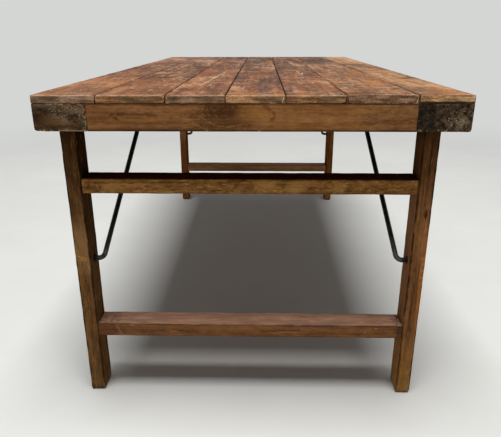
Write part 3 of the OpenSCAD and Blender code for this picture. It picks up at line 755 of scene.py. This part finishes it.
def leg_finish(end, side):
    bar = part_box(f"leg_{end}_{side}")
    face, streaks = LEGS[end, side]
    seed = 31.0 + CORNERS.index((end, side))
    right = side == "right"
    wood = Wood(f"leg_{end}_{side}_wood", "Z", bar, seed, shades(face), 0.0065, (0.03, -0.03),
                0.45 if right else 0.16, 0.24, 0.2, 0.3 if right else 0.2)
    x, y, z = wood.x, wood.y, wood.z
    wood.blot(streaks, 3.0, (0.22, 0.011), 0.55 if right else 0.2)
    wood.blot("#a8743c", 7.0, (0.12, 0.02), 0.3)
    wood.scratches("#d0ac7c", 0.1, 0.4, 190.0, 7.0, seed=2.0)
    wood.scratches("#241610", -0.25, 0.4, 190.0, 9.0, seed=5.0)
    inner = abs(x - (bar[0].x if right else bar[1].x)).step(0.0018, 0.0009)
    if right:
        wood.paint("#94694a", inner * 0.6)
        foot = z.step(0.2, 0.05)
        wood.paint("#b0803e", foot * 0.45)
        specks = wood.shifted(39.0, 60.0, 110.0, 4.0, 0.75).step(0.56, 0.66)
        wood.paint("#2e1a0c", foot * specks * 0.6)
    else:
        # Painted shade: the inner face of a left leg is darker, most of all towards its top under the
        # table
        wood.paint("#2e1f15", inner * (z.step(0.25, 0.5) * 0.6 + 0.1))
        wood.paint("#c49460", z.step(0.31, 0.38) * z.step(0.5, 0.42) * (1 - inner) * 0.36)
    wood.edges("#20120a", 0.0055, 0.85)
    # Painted shade: each leg darkens towards its top, where the rails over it shade it
    wood.paint("#2a1403", z.step(0.47, 0.62) * (0.65 if right else 0.45))
    wood.paint("#140802", z.step(0.62, 0.69) * 0.55)
    wood.paint("#b58e5c", z.step(0.05, 0.0) * wood.spread(wood.at(50.0, 50.0)) * 0.45)
    wood.paint("#1a100a", z.step(0.006, 0.001) * 0.8)
    # Painted shade: a dark disc round the hook's hole in the inner face, as dark as the inside of a
    # hole
    hole = ((bar[0].y + bar[1].y) / 2, HOOK_Z)
    wood.mark("#120b07", (y, z), hole, (0.011, 0.011), inner * 0.85, 0.5, 0.6)
    if end == "near":
        front = y.step(bar[0].y + 0.0018, bar[0].y + 0.0008)
        marks = right_leg_marks if right else left_leg_marks
        marks(wood, front)
    wood.flecks(29.0, 45.0, 230.0, ("#2c180a", 0.46, 0.34, 0.4), ("#c49252", 0.56, 0.68, 0.25))
    wood.ends(("#3e2c1d", "#6a4c30", "#8e6c48"))
    wood.chips("#c09a68", 0.7)
    return wood.close(0.0006, specular=0.0)


def upper_stretcher_marks(wood, low, front):
    """Golden figure, a long dark line and a small ring on the near upper stretcher."""
    face = (wood.x, wood.z)
    for place, reach in ((-0.318, 0.03), (0.03, 0.035), (0.10, 0.03), (0.20, 0.02)):
        wood.mark("#d3a056", face, (place, low.z + 0.017), (reach, 0.016), front * 0.35, 0.05, 1.5)
    wood.trail("#3a2310", face, [(-0.378, 0.564), (-0.14, 0.566)], 0.003, front * 0.45, 0.006)
    ring = wood.spot(face, (-0.034, 0.557), (0.004, 0.004), 0.6)
    ring = ring - wood.spot(face, (-0.034, 0.557), (0.0024, 0.0024), 0.6)
    wood.paint("#2a1a0e", ring * front * 0.7)


def lower_stretcher_marks(wood, low, front, top):
    """Stains on the top of the near lower stretcher, and cracks and a joint in its front."""
    x, y = wood.x, wood.y
    face = (x, wood.z)
    stain = wood.spread(wood.at(100.0, 100.0)) * 0.4 + 0.18
    wood.mark("#4a3230", (x, y), (-0.372, low.y + 0.025), (0.046, 0.05), top * stain, 0.6, 0.5)
    streak = y.step(low.y + 0.014, low.y + 0.009) * x.step(0.07, 0.1) * x.step(0.22, 0.19)
    wood.paint("#7a5a60", streak * top * 0.5)
    specks = wood.spread(wood.at(160.0, 260.0), 3.0, 0.7).step(0.5, 0.7) * x.step(0.345, 0.365)
    wood.paint("#1a100c", specks * top * 0.85)
    wood.paint("#3a2b24", x.step(0.3580, 0.3600) * front * 0.6)
    wood.paint("#5a3320", x.step(-0.335, -0.345) * front * 0.5)
    wood.trail("#a5745a", face, [(-0.340, 0.198), (-0.325, 0.166)], 0.0035, front * 0.35, 0.001)
    for crack in ([(-0.20, 0.184), (-0.15, 0.176)], [(0.02, 0.180), (0.12, 0.186)]):
        wood.trail("#33190c", face, crack, 0.0016, front * 0.7, 0.004)


STRETCHERS = {
    # tone, share of the mottle, tone of the patches, share of dark flecks, tone and share of
    # light flecks, gloss
    "upper": ("#855a31", 0.34, "#c09048", 0.65, "#cf9f58", 0.5, 0.0),
    "lower": ("#7a5031", 0.22, "#a06c3c", 0.35, "#a87444", 0.3, 0.04),
}
# The far lower stretcher is painted much lighter than the near one: painted light that makes up for
# the shade of the table over it
FAR_LOWER_PAINTED_LIGHT_TONE = "#ae7a50"


def stretcher_finish(end, level, bar):
    low, high = bar
    face, mottle, patches, dark_share, pale, pale_share, gloss = STRETCHERS[level]
    upper = level == "upper"
    # Painted light: the far lower stretcher gets a much lighter tone
    if end == "far" and not upper:
        face = FAR_LOWER_PAINTED_LIGHT_TONE
    seed = 41.0 + 2 * (end == "far") + upper
    wood = Wood(f"{level}_stretcher_{end}_wood", "X", bar, seed, shades(face), 0.007,
                (0.0, -0.05), 0.34, mottle, 0.26, 0.24)
    wood.blot("#50321a", 3.0, (0.12, 0.012), 0.4)
    wood.blot(patches, 7.0, (0.04, 0.014), 0.35)
    wood.flecks(5.0, 75.0, 190.0, ("#33200f", 0.47, 0.35, dark_share),
                (pale, 0.54, 0.66, pale_share), 0.78)
    wood.scratches("#d8b880", 0.2, 0.4, 190.0, 9.0, seed=2.0)
    top = wood.z.step(high.z - 0.0012, high.z - 0.0006)
    front = wood.y.step(low.y + 0.0018, low.y + 0.0008)
    if upper:
        # The top of an upper stretcher is painted almost black: dark dust, and painted shade from the
        # table top just above it
        wood.paint("#49241a", top * 0.95)
    else:
        dust = wood.spread(wood.at(12.0, 40.0), 4.0, 0.65)
        wood.paint("#b98f76", top * (0.45 + dust * 0.5))
        rubbed = wood.shifted(33.0, 8.0, 60.0, 4.0, 0.7).step(0.5, 0.62)
        wood.paint("#7c5f58", top * rubbed * 0.4)
        bleached = wood.shifted(35.0, 14.0, 90.0, 4.0, 0.7).step(0.52, 0.64)
        wood.paint("#dcae86", top * bleached * 0.45)
    if end == "near" and upper:
        upper_stretcher_marks(wood, low, front)
    elif end == "near":
        lower_stretcher_marks(wood, low, front, top)
    wood.edges("#2b1b10", 0.0042, 0.5)
    return wood.close(0.0006, specular=gloss)


def peg_finish(name, grain, seed):
    bar = ((-HALF_W, -HALF_L, 0.0), (HALF_W, HALF_L, RAIL_TOP))
    wood = Wood(name, grain, bar, seed, shades("#8d6a44"), 0.002, (0.0, 0.0))
    wood.paint("#4a3422", wood.spread(wood.at(150.0, 150.0), 3.0) * 0.5)
    return wood.close(0.0003)


# ---- dirt between the boards

# How deep the dirt lies in each joint, at the near end and further on, in metres
JOINT_DEPTHS = [
    (0.012, 0.006), (0.012, 0.009), (0.0010, 0.009), (0.0010, 0.008), (0.0008, 0.0002),
    (0.0008, 0.003),
]
# The dirt's distance from the rails below it, and the length over which its depth changes
DIRT_GAP = 0.0005
DEPTH_RUN = 0.02


def dirt_finish(number, left, right, floor):
    """Dark crumbs, with wood-coloured dust where a joint shows little."""
    dirt = Finish(bpy.data.materials.new(f"joint_dirt_{number}"))
    dirt.place("Y", ((left, -HALF_L, floor), (right, HALF_L, TOP_Z)), 71.0 + number)
    crumbs = dirt.spread(dirt.at(90.0, 300.0), 4.0, 0.7)
    dirt.colour = dirt.mix(crumbs, tone("#1c110b"), tone("#3a271c"))
    dust = 0.75 + crumbs * 0.25
    if number == 1:
        dirt.paint("#84573c", dirt.y.step(-0.25, 0.15) * 0.7 * dust)
    elif number == SHUT_JOINT:
        shut = dirt.y.step(-0.67, -0.60) * dirt.y.step(0.8, 0.65)
        dirt.paint("#a06c4a", (shut * 0.7 + 0.3) * dust)
    if number > 2:
        dirt.paint("#8a6a4c", dirt.y.step(-0.886, -0.889) * (0.3 + crumbs * 0.5))
    dirt.rough = 0.8 + crumbs * 0.15
    dirt.height = crumbs
    return dirt.close(0.0006)


def joint_dirt(number):
    """Dirt packed in the joint between two boards, up to an uneven depth below the top."""
    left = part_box(f"board_{number}")[1].x
    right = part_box(f"board_{number + 1}")[0].x
    near, further = JOINT_DEPTHS[number - 1]
    floor = RAIL_TOP + DIRT_GAP
    shape = bmesh.new()
    bmesh.ops.create_cube(shape, size=1.0)
    size = Vector((right - left - 0.0001, 2 * HALF_L - 0.001, TOP_Z - floor))
    bmesh.ops.scale(shape, verts=shape.verts[:], vec=size)
    middle = ((left + right) / 2, 0.0, (floor + TOP_Z) / 2)
    bmesh.ops.translate(shape, verts=shape.verts[:], vec=middle)
    for place in cuts(-HALF_L, HALF_L, 0.018, (0.003, 0.008)):
        cut_across(shape, 1, place)
    for vert in shape.verts:
        if vert.co.z > floor + 0.001:
            share = min(1.0, (vert.co.y + HALF_L) / DEPTH_RUN)
            depth = near + (further - near) * share
            vert.co.z = TOP_Z - depth * (1.0 + 0.6 * noise.noise(vert.co * 30.0))
    piece = made_object(shape, f"joint_dirt_{number}", dirt_finish(number, left, right, floor))
    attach(piece, "top")


# ---- finishes of the iron

def metal_finish(name, base, bright, rust, seed, metallic, rough, rust_share):
    """Old iron or steel: a dark skin, worn bright in places, with rust and a hammered face."""
    iron = Finish(bpy.data.materials.new(name))
    iron.place("Z", ((-1, -1, -1), (1, 1, 1)), seed)
    skin = iron.spread(iron.at(60.0, 60.0), 4.0, 0.6)
    iron.colour = iron.mix(skin, tone(base[0]), tone(base[1]))
    rub = iron.spread(iron.at(25.0, 40.0), 3.0, 0.6).step(0.6, 0.9)
    iron.paint(bright, rub * 0.5)
    fleck = iron.spread(iron.at(200.0, 200.0), 3.0, 0.7)
    rusty = iron.spread(iron.at(30.0, 45.0), 4.0, 0.7).step(0.55, 0.85) * rust_share
    iron.paint(rust, rusty * (0.5 + fleck * 0.5))
    iron.rough = rough + (skin - 0.5) * 0.16 + rusty * 0.3 - rub * 0.08
    iron.metal = metallic - rusty * metallic * 0.8
    iron.height = skin * 0.5 + fleck * 0.25 + rusty * fleck * 0.6
    return iron


def stay_finish(end, side):
    seed = 51.0 + CORNERS.index((end, side))
    iron = metal_finish(f"stay_{end}_{side}_iron", ("#0d0d0e", "#1a1a1c"), "#3a3835", "#3a2418",
                        seed, 0.6, 0.42, 0.3)
    # Lighter grey low on each stay: worn bare iron, and a painted highlight at its lower bend
    bare_and_highlight = iron.z.step(0.42, 0.38) * iron.spread(iron.at(70.0, 70.0), 3.0)
    iron.paint("#5c5a56", bare_and_highlight * 0.7)
    return iron.close(0.00025, specular=0.4)


# ---- screws

SLOT_WIDTH = 0.0011
SLOT_DEPTH = 0.0009
# The turn from the slot of one screw to that of the next, in radians
SLOT_TURN = 2.399


def loose_parts(shape):
    """The points of each loose part of a shape, in the order of its mesh."""
    seen = set()
    for first in shape.verts[:]:
        if first in seen:
            continue
        seen.add(first)
        group = [first]
        for vert in group:
            for edge in vert.link_edges:
                other = edge.other_vert(vert)
                if other not in seen:
                    seen.add(other)
                    group.append(other)
        yield group


def cut_slot(shape, group, turn):
    """Cuts a slot in the head of one screw: the flat end that is wider than its point."""
    low = Vector([min(vert.co[i] for vert in group) for i in range(3)])
    high = Vector([max(vert.co[i] for vert in group) for i in range(3)])
    axis = max(range(3), key=lambda i: high[i] - low[i])
    at_low = sum(vert.co[axis] - low[axis] < 1e-5 for vert in group)
    at_high = sum(high[axis] - vert.co[axis] < 1e-5 for vert in group)
    inward = Vector([float(i == axis) for i in range(3)])
    face_at = low[axis]
    if at_low < at_high:
        inward = -inward
        face_at = high[axis]
    middle = (low + high) / 2
    side = inward.orthogonal().normalized()
    side.rotate(Matrix.Rotation(turn, 3, inward))
    edges = dict.fromkeys(edge for vert in group for edge in vert.link_edges)
    faces = dict.fromkeys(face for vert in group for face in vert.link_faces)
    parts = [*group, *edges, *faces]
    for sign in (-1.0, 1.0):
        place = middle + side * (sign * SLOT_WIDTH / 2)
        made = bmesh.ops.bisect_plane(shape, geom=parts, dist=1e-7, plane_co=place, plane_no=side)
        parts = made["geom"]
    floor = []
    for part in parts:
        if isinstance(part, bmesh.types.BMFace):
            centre = part.calc_center_median()
            if (abs(centre[axis] - face_at) < 1e-5
                    and abs((centre - middle).dot(side)) < SLOT_WIDTH / 2):
                floor.append(part)
    raised = bmesh.ops.extrude_face_region(shape, geom=floor)
    moved = [part for part in raised["geom"] if isinstance(part, bmesh.types.BMVert)]
    bmesh.ops.translate(shape, verts=moved, vec=inward * SLOT_DEPTH)
    bmesh.ops.delete(shape, geom=floor, context="FACES")


def slotted(node, finish, slot):
    """The screws of a node with a slot in each head, at an angle of its own."""
    shape = copied(node)
    for number, group in enumerate(list(loose_parts(shape)), 1):
        cut_slot(shape, group, number * SLOT_TURN)
    stand_in(shape, node, node + "_slotted", finish, slot, 30)


# ---- stage, lamp and camera

BACKDROP = (0.66, 0.67, 0.66, 1.0)
AMBIENT = (0.118, 0.12, 0.122, 1.0)
FLOOR_REACH = 14.0
# How far from the middle the floor starts to fade into the backdrop, and where it has
FADE = (1.9, 4.2)


def seen_directly(finish):
    """1 for rays of the camera, and for those seen in a shiny or clear surface."""
    camera = finish.node("LightPath")
    glossy = finish.node("LightPath", None, None, out=3)
    through = finish.node("LightPath", None, None, out=6)
    return camera.either(glossy).either(through)


def floor_finish():
    paint = Finish(bpy.data.materials.new("pale_floor"))
    reach = (FLOOR_REACH, FLOOR_REACH, 0)
    paint.place("X", ([-edge for edge in reach], reach), 1.0)
    cloud = paint.noise(paint.at(1.4, 1.4), 4.0, 0.6)
    stops = [(0.3, tone("#dededa")), (0.7, tone("#e7e8e4"))]
    colour = paint.node("ValToRGB", {"stops": stops}, {"Fac": cloud})
    values = {"Base Color": colour, "Roughness": 0.65, "Specular IOR Level": 0.3}
    shader = paint.node("BsdfPrincipled", None, values)
    glow = paint.node("Emission", None, {"Color": BACKDROP, "Strength": 1.0})
    away = (paint.x * paint.x + paint.y * paint.y) ** 0.5
    share = away.step(*FADE) * seen_directly(paint)
    mixed = paint.node("MixShader", None, {0: share, 1: shader, 2: glow})
    paint.node("OutputMaterial", None, {"Surface": mixed})
    return paint.owner


def build_stage():
    shape = bmesh.new()
    bmesh.ops.create_grid(shape, x_segments=1, y_segments=1, size=FLOOR_REACH)
    floor = made_object(shape, "floor", floor_finish())

    world = bpy.data.worlds.new("studio")
    bpy.context.scene.world = world
    sky = Finish(world)
    colour = sky.mix(seen_directly(sky), AMBIENT, BACKDROP)
    light = sky.node("Background", None, {"Color": colour, "Strength": 1.0})
    sky.node("OutputWorld", None, {"Surface": light})


def build_lamp():
    """One wide soft lamp, high over the space between the camera and the table."""
    data = bpy.data.lights.new("overhead", "AREA")
    data.shape = "RECTANGLE"
    data.size, data.size_y = 4.0, 4.0
    data.energy = 665.0
    item = bpy.data.objects.new("overhead", data)
    bpy.context.scene.collection.objects.link(item)
    item.location = (0.0, -1.5, 8.0)
    item.rotation_euler = (-item.location).to_track_quat("-Z", "Y").to_euler()


def build_camera():
    data = bpy.data.cameras.new("camera")
    data.sensor_fit = "HORIZONTAL"
    data.sensor_width = 36.0
    data.lens = 36.885
    data.clip_end = 60.0
    item = bpy.data.objects.new("camera", data)
    bpy.context.scene.collection.objects.link(item)
    item.location = (0.02282, -1.95824, 0.88103)
    item.rotation_euler = [math.radians(turn) for turn in (70.1291, 0.1066, 1.2526)]
    bpy.context.scene.camera = item


# ---- the table

def dress_top():
    for number in range(1, BOARD_COUNT + 1):
        slot = {1: "board_1", BOARD_COUNT: "board_7"}.get(number, "board_inner")
        worn(f"board_{number}", board_finish(number), slot, (0.011, 0.022, 0.02), bite=0.0009,
             seed=float(number), chips=NEAR_CHIPS.get(number, ()))
    for number in range(1, BOARD_COUNT):
        joint_dirt(number)
    for side in SIDES:
        worn(f"side_rail_{side}", rail_finish(side), "rail_wood", (0.012, 0.024, 0.014),
             bite=0.0016, seed=11.0)
    for end, seed in zip(ENDS, (21.0, 22.0)):
        node = f"end_rail_{end}"
        bar = shoulders(node, "side_rail_left", "side_rail_right")
        wood = cross_finish(f"{node}_wood", bar, seed, "#956740")
        if end == "near":
            near_rail_marks(wood, bar)
        worn(node, wood.close(0.0006), "end_rail_wood", (0.016, 0.014, 0.014), bar, 0,
             0.0005, 0.0001, 21.0)
    for seed, place in enumerate(("near", "middle", "far"), 24):
        node = f"bearer_{place}"
        bar = shoulders(node, "side_rail_left", "side_rail_right")
        wood = cross_finish(f"{node}_wood", bar, float(seed), "#7c5634")
        worn(node, wood.close(0.0006), "bearer_wood", (0.022, 0.014, 0.014), bar, 0,
             seed=float(seed))


def dress_leg_frames():
    for end, side in CORNERS:
        worn(f"leg_{end}_{side}", leg_finish(end, side), "leg_wood", (0.012, 0.012, 0.018),
             None, 2, 0.0014, seed=31.0, tread=0.003)
        frame["nodes"][f"stay_{end}_{side}"].data.materials[0] = stay_finish(end, side)
    for end in ENDS:
        for level in ("upper", "lower"):
            node = f"{level}_stretcher_{end}"
            bar = shoulders(node, f"leg_{end}_left", f"leg_{end}_right")
            worn(node, stretcher_finish(end, level, bar), f"{level}_stretcher_wood",
                 (0.016, 0.013, 0.0115), bar, 0, 0.0014, seed=41.0)


def dress_fittings():
    hinges = metal_finish("hinge_iron", ("#2c2925", "#47423b"), "#6b655b", "#5c3a22",
                          61.0, 0.7, 0.5, 0.8).close(0.0003, 0.5)
    plates = metal_finish("eye_plate_iron", ("#17171a", "#2a2a2c"), "#5a5751", "#4a2c1c",
                          62.0, 0.75, 0.45, 0.5).close(0.0003, 0.5)
    steel = metal_finish("screw_steel_worn", ("#6b675f", "#8f8a80"), "#aaa59b", "#5c3a22",
                         63.0, 0.85, 0.42, 0.7).close(0.0002, 0.5)
    # A node gets the finish of the first of these that its name begins with
    finishes = {
        "hinge_pin": steel,
        "hinge": hinges,
        "eye_plate": plates,
        "rail_pegs": peg_finish("rail_peg_wood", "Z", 65.0),
        "frame_pegs": peg_finish("frame_peg_wood", "Y", 66.0),
    }
    for name, item in list(frame["nodes"].items()):
        if "screws" in name:
            slotted(name, steel, "screw_steel")
            continue
        found = [finish for start, finish in finishes.items() if name.startswith(start)]
        if found:
            item.data.materials[0] = found[0]


build_stage()
build_lamp()
build_camera()
bpy.context.scene.view_settings.view_transform = "Standard"
dress_top()
dress_leg_frames()
dress_fittings()
